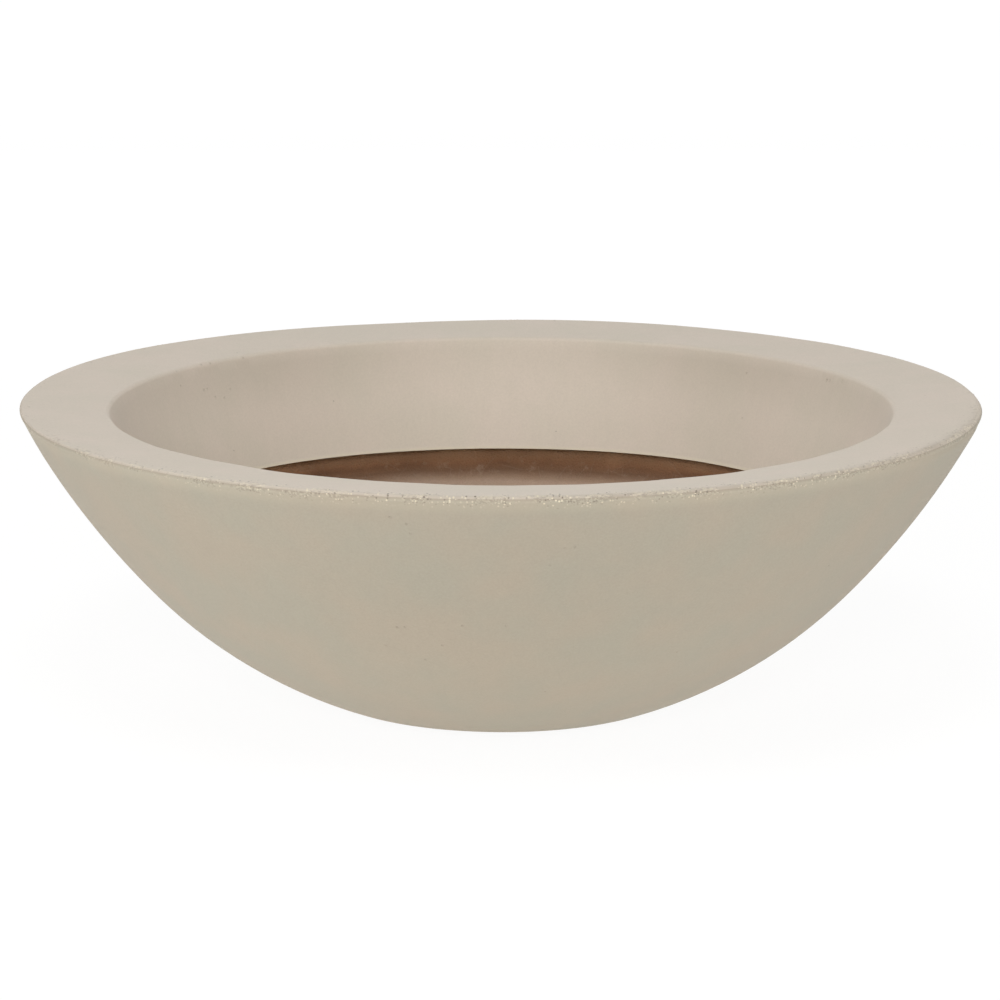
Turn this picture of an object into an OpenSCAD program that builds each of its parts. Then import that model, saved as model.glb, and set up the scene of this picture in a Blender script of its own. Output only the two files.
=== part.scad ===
// Bowl planter of glass-fibre-reinforced concrete: a thin laid-up shell with a flat,
// hollow rim that returns into the bowl and ends in a free-hanging collar.
// Millimetres, +Z up, origin on the floor under the middle of the base.

/* [Rim] */
// Diameter over the rim's rounded outer edge
rim_d = 800; // [780:5:820]
// Diameter of the mouth, where the rim face turns down into the collar
mouth_d = 653; // [630:1:670]
// Fall of the rim face towards the mouth, in degrees
rim_fall = 4.6; // [3:0.1:7]
// Depth of the collar's free edge below the rim's outer corner
collar_depth = 104; // [80:1:115]
// Diameter inside the collar's free edge
throat_d = 591; // [580:1:605]
// Rounding of the outer edge
edge_r = 3; // [1:0.5:3]
// Rounding of the edge between the rim face and the collar
lip_r = 5; // [3.5:0.5:8]

/* [Wall] */
// Lean of the wall from plumb at the rim, in degrees
top_lean = 26.8; // [25:0.1:28]
// Lean at which the upper arc gives way to the belly arc, in degrees
belly_lean = 43.1; // [41:0.1:45]
// Lean at which the belly arc gives way to the heel, in degrees
heel_lean = 67.9; // [66:0.1:69]
// Radius of the upper arc
upper_r = 643; // [630:1:655]
// Radius of the belly arc
belly_r = 405; // [395:1:415]
// Radius of the heel, where the wall turns under into the base
heel_r = 42; // [34:1:50]

/* [Lay-up] */
// Thickness of the pigmented face coat
coat_t = 3; // [3:0.5:4]
// Thickness of the whole lay-up, face coat and fibre-reinforced backing
shell_t = 12; // [11:0.5:15]
// Width of the bonding bead along the underside of the rim
bead_w = 32; // [24:1:40]

/* [Drain] */
// Radius of the hole in the base
drain_r = 16; // [14:0.5:20]
// Radius of the drain sleeve's flange
flange_r = 27; // [25:0.5:32]
// Thickness of the drain sleeve's flange
flange_t = 2.5; // [2:0.5:4]
// Wall of the drain sleeve at its lower end
sleeve_t = 3; // [2:0.5:4]
// Radius of the plug's head
head_r = 21; // [19:0.5:24]
// Thickness of the plug's head at its edge
head_t = 3.5; // [3:0.5:5]
// Height of the plug's pull tab above its head
tab_h = 11; // [8:0.5:14]

/* [Pads] */
// Number of foot pads
pad_n = 4; // [3:1:6]
// Radius of a pad
pad_r = 24; // [18:1:26]
// Height of a pad
pad_h = 3; // [2:0.5:3]

/* [Hidden] */
$fn = 96;
arc_step = 1.5;       // degrees between the points of a section's long arcs
small_arc_step = 9;   // the same, for roundings of a few millimetres
bead_points = 8;      // points across the bead's hollow face
bead_hollow = 0.45;   // how far the bead's face is drawn back into its corner
pad_inset = 15;       // from the edge of the base's flat to the pads
pad_chamfer = 0.8;
sleeve_taper = 1;     // how much wider the sleeve is inside at its top than at its foot
plug_gap = 0.3;       // stands for the squeeze of the rubber in the sleeve
seat_gap = 0.2;       // between the plug's head and the flange
stem_rise = 1;        // from the base's underside to the foot of the plug's stem
plug_lip = 0.2;       // how far the stem's sealing lips stand proud
plug_lip_w = 2;
plug_lip_rise = [3, 8];   // from the base's underside to the foot of each lip
dome_h = 1.5;
tab_t = 5;
tab_w = 24;
eps = 0.01;

// The section is drawn in the right half plane, x outwards from the axis and y up, with
// y = 0 at the rim's outer corner. A lean of 0 faces outwards, 90 down and -90 up.
function face(lean) = [cos(lean), -sin(lean)];
function arc(c, r, from, to, step) =
    let(n = ceil(abs(to - from) / step))
    [for (k = [0:n]) c + r * face(from + (to - from) * k / n)];
function reversed(list) = [for (k = [len(list) - 1:-1:0]) list[k]];

// The rim face runs inwards from the outer corner, and the wall down from it. The point
// that lies at the same depth under both, seen from the corner:
rim_up = face(-90 - rim_fall);
rim_in = [-cos(rim_fall), -sin(rim_fall)];
function meet(depth) =
    let(from = upper_r * face(top_lean) - depth * rim_up,
        b = from * rim_in,
        c = from * from - pow(upper_r - depth, 2))
    -depth * rim_up - (b + sqrt(b * b - c)) * rim_in;
function lean_at(depth) =
    let(spoke = meet(depth) + upper_r * face(top_lean)) atan2(-spoke.y, spoke.x);

corner = [rim_d / 2 - edge_r - meet(edge_r).x, 0];
edge_c = corner + meet(edge_r);
edge_lean = lean_at(edge_r);
mitre_lean = (edge_lean - 90 - rim_fall) / 2;

// The wall's three arcs are tangent, so their centres lie on each other's spokes.
upper_c = corner - upper_r * face(top_lean);
belly_c = upper_c + (upper_r - belly_r) * face(belly_lean);
heel_c = belly_c + (belly_r - heel_r) * face(heel_lean);
base_y = heel_c.y - heel_r;
base_z = pad_h;
floor_z = base_z + shell_t;

// Face of the wall at a depth inside the lay-up, from the rim down to the drain hole
function wall_line(depth) = concat(
    depth < edge_r ? arc(edge_c, edge_r, mitre_lean, edge_lean, small_arc_step) : [],
    arc(upper_c, upper_r - depth, lean_at(max(depth, edge_r)), belly_lean, arc_step),
    arc(belly_c, belly_r - depth, belly_lean, heel_lean, arc_step),
    arc(heel_c, heel_r - depth, heel_lean, 90, 2 * arc_step),
    [[drain_r, base_y + depth]]);

// The collar leans inwards on its way down, and its face meets the rim's in the lip.
lip = [mouth_d / 2, -(corner.x - mouth_d / 2) * tan(rim_fall)];
collar_lean = atan((mouth_d - throat_d) / 2 / (collar_depth + lip.y));
collar_out = face(collar_lean);
function lip_at(depth) = lip + depth * (collar_out - rim_up) / (1 - collar_out * rim_up);

// Face of the rim and collar at a depth inside the lay-up, from the outer edge to the free edge
function rim_line(depth) = concat(
    depth < edge_r ? arc(edge_c, edge_r, mitre_lean, -90 - rim_fall, small_arc_step)
                   : [corner + meet(depth)],
    depth < lip_r ? arc(lip_at(lip_r), lip_r - depth, -90 - rim_fall,
                        collar_lean - 180, small_arc_step)
                  : [lip_at(depth)],
    [[throat_d / 2 + depth / cos(collar_lean), -collar_depth]]);

// Turns a section about the axis and stands it on the pads
module turned() {
    translate([0, 0, base_z - base_y]) rotate_extrude() children();
}

module bowl_face_coat() {
    color("#bab29e") turned()
        polygon(concat(wall_line(0), reversed(wall_line(coat_t))));
}

module bowl_backing() {
    color("#8a6e5a") turned()
        polygon(concat(wall_line(coat_t), reversed(wall_line(shell_t))));
}

module rim_face_coat() {
    color("#c6bbae") turned()
        polygon(concat(rim_line(0), reversed(rim_line(coat_t))));
}

module rim_backing() {
    color("#8a6e5a") turned()
        polygon(concat(rim_line(coat_t), reversed(rim_line(shell_t))));
}

// A hollow-faced bead of mortar in the sharp corner between the shell and the rim
module rim_bond() {
    chord = (upper_r - shell_t) * arc_step * PI / 180;
    wall_side = [for (k = [0:round(bead_w / chord)]) wall_line(shell_t)[k]];
    foot = wall_side[len(wall_side) - 1];
    top = wall_side[0] + bead_w * rim_in;
    middle = (foot + top) / 2;
    pull = middle + bead_hollow * (wall_side[0] - middle);
    hollow = [for (k = [1:bead_points]) let(t = k / bead_points)
        pow(1 - t, 2) * foot + 2 * t * (1 - t) * pull + pow(t, 2) * top];
    color("#9a8a78") turned() polygon(concat(wall_side, hollow));
}

// Flanged bush: its tube lines the hole through the lay-up, and its bore narrows downwards
module drain_sleeve() {
    top = floor_z + flange_t;
    bore_r = drain_r - sleeve_t;
    soft = flange_t / 2;
    color("#3c3d3f") rotate_extrude() polygon([
        [bore_r, base_z], [drain_r, base_z], [drain_r, floor_z], [flange_r, floor_z],
        [flange_r, top - soft], [flange_r - soft, top], [bore_r + sleeve_taper, top]]);
}

// Stopper: a tapered stem with two sealing lips, a domed head and a tab to pull it by
module drain_plug() {
    top = floor_z + flange_t;
    stem_top_r = drain_r - sleeve_t + sleeve_taper - plug_gap;
    stem_foot_r = drain_r - sleeve_t - plug_gap;
    stem_foot_z = base_z + stem_rise;
    head_z = top + seat_gap;
    head_top = head_z + head_t;
    function stem_r(z) = stem_foot_r + (stem_top_r - stem_foot_r) * (z - base_z) / (top - base_z);
    module sealing_lip(z) {
        polygon([[0, z], [stem_r(z), z], [stem_r(z) + plug_lip, z + plug_lip_w / 2],
                 [stem_r(z + plug_lip_w), z + plug_lip_w], [0, z + plug_lip_w]]);
    }
    color("#2b2c2d") {
        rotate_extrude() {
            polygon([[0, stem_foot_z], [stem_r(stem_foot_z), stem_foot_z], [stem_r(head_z), head_z],
                     [head_r, head_z], [head_r, head_top], [tab_w / 2, head_top + dome_h],
                     [0, head_top + dome_h]]);
            for (rise = plug_lip_rise) sealing_lip(base_z + rise);
        }
        translate([0, 0, head_top]) intersection() {
            translate([-tab_w / 2, -tab_t / 2, 0]) cube([tab_w, tab_t, dome_h + tab_h]);
            translate([0, tab_t / 2 + eps, dome_h + tab_h - tab_w / 2])
                rotate([90, 0, 0]) union() {
                    cylinder(h = tab_t + 2 * eps, r = tab_w / 2);
                    translate([-tab_w / 2, -tab_w / 2, 0]) cube([tab_w, tab_w / 2, tab_t + 2 * eps]);
                }
        }
    }
}

// Thin rubber pads glued under the flat of the base, out of sight behind its edge
module foot_pads() {
    ring_r = heel_c.x - pad_inset - pad_r;
    color("#303132") for (k = [0:pad_n - 1])
        rotate([0, 0, 360 / pad_n * (k + 0.5)]) translate([ring_r, 0, 0]) {
            cylinder(h = pad_chamfer, r1 = pad_r - pad_chamfer, r2 = pad_r);
            translate([0, 0, pad_chamfer]) cylinder(h = pad_h - pad_chamfer, r = pad_r);
        }
}

bowl_face_coat();
bowl_backing();
rim_face_coat();
rim_backing();
rim_bond();
drain_sleeve();
drain_plug();
foot_pads();
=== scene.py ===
# Bowl planter of glass-fibre-reinforced concrete: the finish of every piece, the camera and the light.
import random
from bisect import bisect_right
from math import asin, atan, atan2, ceil, cos, degrees, exp, hypot, pi, radians, sin, sqrt, tan

import bmesh
import bpy
from mathutils import Matrix, Vector, noise
from mathutils.kdtree import KDTree


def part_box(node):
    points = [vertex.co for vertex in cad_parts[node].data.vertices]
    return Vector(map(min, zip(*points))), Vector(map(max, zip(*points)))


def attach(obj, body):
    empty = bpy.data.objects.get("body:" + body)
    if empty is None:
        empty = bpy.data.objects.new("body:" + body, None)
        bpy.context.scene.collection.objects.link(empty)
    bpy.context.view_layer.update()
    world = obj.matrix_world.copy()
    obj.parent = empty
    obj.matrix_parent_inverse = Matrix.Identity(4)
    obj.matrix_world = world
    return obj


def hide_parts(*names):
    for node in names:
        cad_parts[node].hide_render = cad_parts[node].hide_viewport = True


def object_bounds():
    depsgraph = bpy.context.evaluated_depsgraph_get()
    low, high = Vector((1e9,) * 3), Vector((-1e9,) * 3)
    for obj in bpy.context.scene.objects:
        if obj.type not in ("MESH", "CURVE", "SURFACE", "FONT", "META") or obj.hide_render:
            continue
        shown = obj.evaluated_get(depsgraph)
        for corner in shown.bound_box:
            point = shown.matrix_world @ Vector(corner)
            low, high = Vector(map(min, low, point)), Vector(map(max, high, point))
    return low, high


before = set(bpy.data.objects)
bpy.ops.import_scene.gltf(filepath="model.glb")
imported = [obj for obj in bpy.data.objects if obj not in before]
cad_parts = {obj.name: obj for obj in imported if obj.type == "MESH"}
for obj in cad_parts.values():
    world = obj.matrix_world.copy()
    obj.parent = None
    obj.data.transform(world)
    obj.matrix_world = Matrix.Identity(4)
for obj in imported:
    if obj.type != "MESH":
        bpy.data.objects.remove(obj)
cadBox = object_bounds()
mm = 0.001
far = 1e4   # the "run" of a vertex that isn't on the outer edge

# The bowl's section, in millimetres and degrees. Leans: 0 faces outwards, 90 down, -90 up.
form = {
    "rimDiameter": 800,
    "mouthDiameter": 653,
    "rimFall": 4.6,          # of the rim face towards the mouth
    "collarDepth": 104.8,    # 0.8 more than the mould gives, because the free edge was left a little long
    "throatDiameter": 591,
    "edgeRadius": 3,
    "lipRadius": 5,
    "topLean": 26.8,
    "bellyLean": 43.1,
    "heelLean": 67.9,
    "upperRadius": 643,
    "bellyRadius": 405,
    "heelRadius": 42,
    "coat": 3,               # the pigmented face coat
    "layUp": 12,             # face coat and fibre-reinforced backing together
    "drainRadius": 16,
}

# How far a hand-laid bowl is from true: (azimuth, width in degrees, amount in mm)
untrue = {
    "reach": [(148, 16, 3), (118, 20, -1)],
    "height": [(104, 16, -1.2), (108, 28, -0.6), (36, 24, -0.5), (55, 12, -0.5)],
    "fade": 90,              # mm down the wall or in from the edge until these have gone
    "lipHeight": [(-125, 30, 0.9), (-55, 30, -0.9), (-92, 45, -0.3)],   # of the mouth's edge alone
    "footHeight": [(41, 9, -1.1), (90, 22, -0.3)],                      # and of the collar's free edge
    "localFade": 60,
    "trimFade": 40,          # for what comes off where a blunt edge would stand out past the rim's diameter
}

# The outer edge, rubbed down by hand: crisp on the left, blunt with a hollow below it on the right
edge = {
    "radius": 3.6,
    "blunt": (-14, 26, 1.2),
    "crisp": (180, 34, -1.9),
    "waver": (0.4, 6),       # mm, and its waves on the length of the rim's radius
    "bluntest": 4.9,
    "hollow": [(-22, 17, 1.1), (-152, 12, 0.45), (-100, 40, 0.25)],
    "hollowAt": (3.5, 7.5, 16),   # starts, is deepest and ends, mm below the corner
    "hollowShade": 0.55,      # painted shade in the hollow: how far its tone is gone for a mm of its depth
    "fine": 0.8,             # mm between rows of the mesh here
    "graded": (2.5, 6, 11),  # rows past the band, mm from its end
    "edgeWearAndShade": (0.5, 0, 4.5),   # how far the edge's tone is gone, by wear and as painted shade over the rounding's highlight, and from where to where
    "rimWearAndShade": (0.6, 8),     # the same wear and painted shade further in on the rim, and the distance in which it fades
    "frontWearAndShade": (0.12, 0.88, -68, 58),   # the share of that wear and painted shade all round, and more round the front
    "wideWearAndShade": [(-157, 14, 5), (-22, 22, 8), (-122, 18, -6)],   # azimuth, width, and mm that the wear and painted shade reach further in
    "patchy": 0.35,          # how uneven all this wear and painted shade is
    "paintedLightBelowEdge": (0.15, 2, 5, 8, 18),    # painted light on the wall below the edge: how pale, and between which distances
    "speckled": (-28, -9, 4, 13),       # mm past the edge: from where to where the specks come and go
    "chipped": (0.04, 0.96, -82, 50),   # how thick the marks lie all round, and more round the front
    "firstMark": 0.8,        # mm from the corner
    "clusters": (0.42, 0.05, 1.7),   # waves of the broad ones to a degree and a mm, of the small to a degree
    "clustered": (0.14, 1.5),        # the share of marks between clusters, and the growth of it in them
    "markRim": (1.5, 0.12),  # a mark's raised rim: its radius and its height, as shares of the mark's own
    "markShade": (0.5, 1.4),  # where a mark's tone fades, as shares of its radius: the painted shade in an air hole, the paler tone of a grain
}

# Faces round the bowl: as spun, then cut finer for the lay-up, the face coats and the rubbed edge
turns = {"spun": 72, "layUp": 720, "coat": 576, "edge": 2880}


# The section's points are (distance from the axis, height above the rim's sharp corner)
def face(lean):
    angle = radians(lean)
    return Vector((cos(angle), -sin(angle)))


def arc(centre, radius, start, end, spacing):
    steps = max(2, ceil(abs(radians(end - start)) * radius / spacing))
    leans = [start + (end - start) * k / steps for k in range(steps + 1)]
    return [(centre + radius * face(lean), lean) for lean in leans]


def straight(start, end, lean, spacing):
    steps = max(1, ceil((end - start).length / spacing))
    return [(start.lerp(end, k / steps), lean) for k in range(steps + 1)]


rimLean = -90 - form["rimFall"]
rimUp = face(rimLean)
rimIn = Vector((-rimUp.y, rimUp.x))


def meet(depth):  # from the sharp corner to the point at that depth under both the rim and the wall
    spoke = form["upperRadius"] * face(form["topLean"]) - depth * rimUp
    along = spoke.dot(rimIn)
    over = spoke.dot(spoke) - (form["upperRadius"] - depth) ** 2
    return -depth * rimUp - (along + sqrt(along * along - over)) * rimIn


def wallLeanAt(depth):
    spoke = meet(depth) + form["upperRadius"] * face(form["topLean"])
    return degrees(atan2(-spoke.y, spoke.x))


corner = Vector((form["rimDiameter"] / 2 - form["edgeRadius"] - meet(form["edgeRadius"]).x, 0))
upperCentre = corner - form["upperRadius"] * face(form["topLean"])
bellyCentre = upperCentre + (form["upperRadius"] - form["bellyRadius"]) * face(form["bellyLean"])
heelCentre = bellyCentre + (form["bellyRadius"] - form["heelRadius"]) * face(form["heelLean"])
baseHeight = heelCentre.y - form["heelRadius"]
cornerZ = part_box("bowl_face_coat")[0].z / mm - baseHeight
mouthRadius = form["mouthDiameter"] / 2
lip = Vector((mouthRadius, (mouthRadius - corner.x) * tan(radians(form["rimFall"]))))
collarLean = degrees(atan((form["mouthDiameter"] - form["throatDiameter"]) / 2
                          / (form["collarDepth"] + lip.y)))


def lipAt(depth):
    out = face(collarLean)
    return lip + depth * (out - rimUp) / (1 - out.dot(rimUp))


def edgeSpot(run, radius):  # point and lean on the rounded edge, that far along the wall (+) or rim (-)
    centre, wallLean = corner + meet(radius), wallLeanAt(radius)
    mitre = (wallLean + rimLean) / 2
    if run < 0:
        tangent = (centre + radius * rimUp - corner).length
        if -run >= tangent:
            return corner - run * rimIn, rimLean
        lean = mitre - (rimLean - mitre) * run / tangent
    else:
        tangent = form["upperRadius"] * radians(wallLean - form["topLean"])
        if run >= tangent:
            lean = form["topLean"] + degrees(run / form["upperRadius"])
            return upperCentre + form["upperRadius"] * face(lean), lean
        lean = mitre + (wallLean - mitre) * run / tangent
    return centre + radius * face(lean), lean


def wallLine(depth, spacing, startLean=None):
    if startLean is None:
        startLean = wallLeanAt(depth)
    line = arc(upperCentre, form["upperRadius"] - depth, startLean, form["bellyLean"], spacing)
    line += arc(bellyCentre, form["bellyRadius"] - depth, form["bellyLean"], form["heelLean"], spacing)[1:]
    line += arc(heelCentre, form["heelRadius"] - depth, form["heelLean"], 90, min(spacing, 4))[1:]
    return line + straight(line[-1][0], Vector((form["drainRadius"], baseHeight + depth)), 90, spacing)[1:]


def rimLine(depth, spacing, start=None, lipSpacing=2):
    if start is None:
        start = corner + meet(depth)
    foot = Vector((form["throatDiameter"] / 2 + depth / cos(radians(collarLean)), -form["collarDepth"]))
    if depth < form["lipRadius"]:
        turn = arc(lipAt(form["lipRadius"]), form["lipRadius"] - depth, rimLean, collarLean - 180,
                   lipSpacing)
    else:
        turn = [(lipAt(depth), rimLean)]
    line = straight(start, turn[0][0], rimLean, spacing)[:-1] + turn
    return line + straight(turn[-1][0], foot, collarLean - 180, spacing)[1:]


def offEdge(line):
    return [(point, lean, far) for point, lean in line]


def fromCorner(reach, height):
    return hypot(reach - corner.x, height)


def smooth(value, start, end):
    share = min(1, max(0, (value - start) / (end - start)))
    return share * share * (3 - 2 * share)


def bump(azimuth, centre, width):
    away = (azimuth - centre + 180) % 360 - 180
    return exp(-(away / width) ** 2)


def bumps(azimuth, places):
    return sum(amount * bump(azimuth, centre, width) for centre, width, amount in places)


def azimuthOf(place):
    return degrees(atan2(place.y, place.x))


def placeAt(azimuth, reach, height):
    turn = radians(azimuth)
    return Vector((reach * cos(turn), reach * sin(turn), height))


def layersOf(bm, *names):
    return [bm.verts.layers.float[name] for name in names]


sectionLayers = "reach", "height", "lean", "run"   # what a vertex keeps of the true section
toneLayers = "wearAndShade", "band", "tone"   # its own tone gone by wear and as painted shade, how thick specks lie, and pale (+) or dark (-): grains, painted highlights, and painted shade in air holes


def spinLine(bm, verts, closed, steps):
    for vert, other in zip(verts, verts[1:] + (verts[:1] if closed else [])):
        bm.edges.new((vert, other))
    bmesh.ops.spin(bm, geom=bm.verts[:] + bm.edges[:], cent=(0, 0, 0), axis=(0, 0, 1), angle=2 * pi,
                   steps=steps, use_merge=True)


def turnSection(line, steps):  # line: (point, lean, run) round a closed section
    bm = bmesh.new()
    layers = [bm.verts.layers.float.new(name) for name in sectionLayers]
    ring = []
    for point, lean, distance in line:
        vert = bm.verts.new((point.x * mm, 0, (point.y + cornerZ) * mm))
        for layer, value in zip(layers, (point.x, point.y, lean, distance)):
            vert[layer] = value
        ring.append(vert)
    spinLine(bm, ring, True, turns["spun"])
    faceOutwards(bm)
    divideRings(bm, bm.verts[:], steps // turns["spun"])
    return bm


def divideRings(bm, verts, parts):  # cuts the edges that run round the bowl, between the given vertices
    reach, height = layersOf(bm, "reach", "height")
    chosen = set(verts)
    rings = [e for e in bm.edges if e.verts[0] in chosen and e.verts[1] in chosen
             and abs(e.verts[0][reach] - e.verts[1][reach]) < 1e-3
             and abs(e.verts[0][height] - e.verts[1][height]) < 1e-3]
    bmesh.ops.subdivide_edges(bm, edges=rings, cuts=parts - 1, use_grid_fill=True)


def edgeRadiusAt(azimuth):
    amount, waves = edge["waver"]
    radius = edge["radius"] + bumps(azimuth, (edge["blunt"], edge["crisp"]))
    return min(edge["bluntest"], radius + amount * noise.noise(placeAt(azimuth, 1, 0) * waves))


def settle(azimuth, reach, height):  # a point of the true section, moved to where the laid-up bowl has it
    away, radius = fromCorner(reach, height), edgeRadiusAt(azimuth)
    fade = 1 - smooth(away, 0, untrue["fade"])
    over = max(0, corner.x + meet(radius).x + radius - form["rimDiameter"] / 2)
    over *= 1 - smooth(away, 0, untrue["trimFade"])
    height += bumps(azimuth, untrue["height"]) * fade
    for key, x, y in (("lipHeight", lip.x, lip.y),
                      ("footHeight", form["throatDiameter"] / 2, -form["collarDepth"])):
        near = 1 - smooth(hypot(reach - x, height - y), 0, untrue["localFade"])
        height += near * bumps(azimuth, untrue[key])
    return reach + bumps(azimuth, untrue["reach"]) * fade - over, height


def chippedAt(azimuth):  # how thick the marks of wear lie along the edge
    least, more, front, wide = edge["chipped"]
    return least + more * bump(azimuth, front, wide)


def hollowAt(azimuth, run):
    start, deepest, end = edge["hollowAt"]
    if not start < run < end:
        return 0
    return smooth(run, start, deepest) * (1 - smooth(run, deepest, end)) * bumps(azimuth, edge["hollow"])


def placeRings(bm, relief, hidden):  # puts every vertex where the rubbed, settled section has it
    reach, height, lean, run = layersOf(bm, *sectionLayers)
    plain = {(round(point.x, 2), round(point.y, 2)) for point, _ in hidden}
    for vert in bm.verts:
        turn = atan2(vert.co.y, vert.co.x)
        azimuth = degrees(turn)
        point, out = Vector((vert[reach], vert[height])), face(vert[lean])
        if abs(vert[run]) < far / 2:
            point, newLean = edgeSpot(vert[run], edgeRadiusAt(azimuth))
            out = face(newLean)
            point -= hollowAt(azimuth, vert[run]) * out
        if (round(vert[reach], 2), round(vert[height], 2)) not in plain:
            point += relief(azimuth, vert[reach], vert[height]) * out
        r, z = settle(azimuth, point.x, point.y)
        vert.co = Vector((r * cos(turn), r * sin(turn), z + cornerZ)) * mm
    bm.normal_update()


def pattern(azimuth, reach, height, size):  # noise with features of about that many millimetres
    return noise.noise(placeAt(azimuth, reach, height) / size)


def dent(bm, marks):  # pushes round air holes (+ depth) or grains (- depth) into the surface; holes get painted shade, grains a paler tone
    tone = bm.verts.layers.float["tone"]
    widest, raised = edge["markRim"]
    tree = KDTree(len(bm.verts))
    for k, vert in enumerate(bm.verts):
        tree.insert(vert.co, k)
    tree.balance()
    bm.verts.ensure_lookup_table()
    for centre, radius, depth, shade in marks:
        for _, k, away in tree.find_range(centre * mm, radius * widest * mm):
            vert = bm.verts[k]
            share = away / (radius * mm)
            if share < 1:
                vert.co -= vert.normal * depth * (1 - share * share) ** 2 * mm
            else:
                vert.co += vert.normal * raised * abs(depth) * (widest - share) * mm
            mark = shade * (1 - smooth(share, *edge["markShade"]))
            if abs(mark) > abs(vert[tone]):
                vert[tone] = mark


def faceOutwards(bm):
    bmesh.ops.recalc_face_normals(bm, faces=bm.faces)


def keepInside(bm):  # nothing stands outside the size that the mould gives
    low, high = cadBox
    for vert in bm.verts:
        vert.co = [min(max(value, least), most) for value, least, most in zip(vert.co, low, high)]


def meshFrom(bm, name):
    mesh = bpy.data.meshes.new(name)
    bm.to_mesh(mesh)
    bm.free()
    return mesh


def putInScene(name, data):
    thing = bpy.data.objects.new(name, data)
    bpy.context.scene.collection.objects.link(thing)
    return thing


def build(name, bm, nodes, material, sharp=32, body="bowl"):
    for f in bm.faces:
        f.smooth = True
    for e in bm.edges:
        e.smooth = e.calc_face_angle(0) <= radians(sharp)
    mesh = meshFrom(bm, name)
    for layer in sectionLayers:
        if layer in mesh.attributes:
            mesh.attributes.remove(mesh.attributes[layer])
    piece = putInScene(name, mesh)
    mesh.materials.append(material)
    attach(piece, body)
    if nodes:
        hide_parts(*nodes)
    print(name, len(mesh.vertices), "vertices")


def linear(hexColour):
    parts = [int(hexColour[k:k + 2], 16) / 255 for k in (0, 2, 4)]
    return [c / 12.92 if c <= 0.04045 else ((c + 0.055) / 1.055) ** 2.4 for c in parts] + [1]


def perMetre(size):  # scale of a pattern whose features are that many millimetres wide
    return 1000 / size


# Where most of a noise lies: broad noise keeps near its middle, and fine noise spreads further
broadNoise, fineNoise = {1: 0.35, 2: 0.65}, {1: 0.25, 2: 0.75}


# Inputs go by name or number: MapRange has its value as 0 and its two ranges as 1 to 4, Mix its share as 0
# and its colours as 6 and 7, with its result as output 2. A node given as an input stands for its output 0
def add(tree, kind, inputs=None, **settings):
    node = tree.nodes.new("ShaderNode" + kind)
    for name, value in settings.items():
        setattr(node, name, value)
    for name, value in (inputs or {}).items():
        if isinstance(value, bpy.types.Node):
            value = value.outputs[0]
        if isinstance(value, bpy.types.NodeSocket):
            tree.links.new(value, node.inputs[name])
        else:
            node.inputs[name].default_value = value
    return node


def newMaterial(name):
    material = bpy.data.materials.new(name)
    material.use_nodes = True
    tree = material.node_tree
    tree.nodes.clear()
    return material, tree, add(tree, "TexCoord").outputs["Object"]


def finishMaterial(tree, colour, roughness, normal, ior=1.5, dusty=0):
    shader = add(tree, "BsdfPrincipled", {"Base Color": colour, "Roughness": roughness, "IOR": ior,
                                          "Sheen Weight": dusty, "Normal": normal})
    add(tree, "OutputMaterial", {"Surface": shader})


# Face coat: white cement, fine sand and pigment, cast against a mould and rubbed down; matt, close-grained,
# with a few pinholes, faintly clouded, and speckled where the rubbing has opened the edge
faceCoat = {
    "clouds": 55, "grain": 1.9, "pinholes": 17, "clusters": 16,   # mm
    "runs": (9, 9, 120),     # the faint upright streaks that the coat left as it ran down the mould
    "swing": (0.05, 0.008),  # how much lighter and darker grain and streaks make it
    "pinhole": (0.8, 0.045, 0.5),   # the share of cells without one, the widest one in cells, and the painted shade in it
    "clustered": (0.36, 0.58),      # the noise at which specks come, and lie thick
    "speck": (0.30, 0.42),   # its radius in cells, and where its soft edge ends
    "kinds": (0.26, 0.68),   # the share of specks that are dark, as painted shade of pits, and from where they are pale grains
    "rough": 0.9, "relief": 0.25,
    "dusty": 0.06,           # the pale look of a mineral surface seen edge-on
    # pale is for grains and painted highlights, dark for painted shade in pinholes, air holes and pits, and
    # the third colour for wear, weathering and painted shade
    "pale": "d8ceb6", "dark": "7f7568", "wornAndShaded": "968a7a",
}


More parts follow.
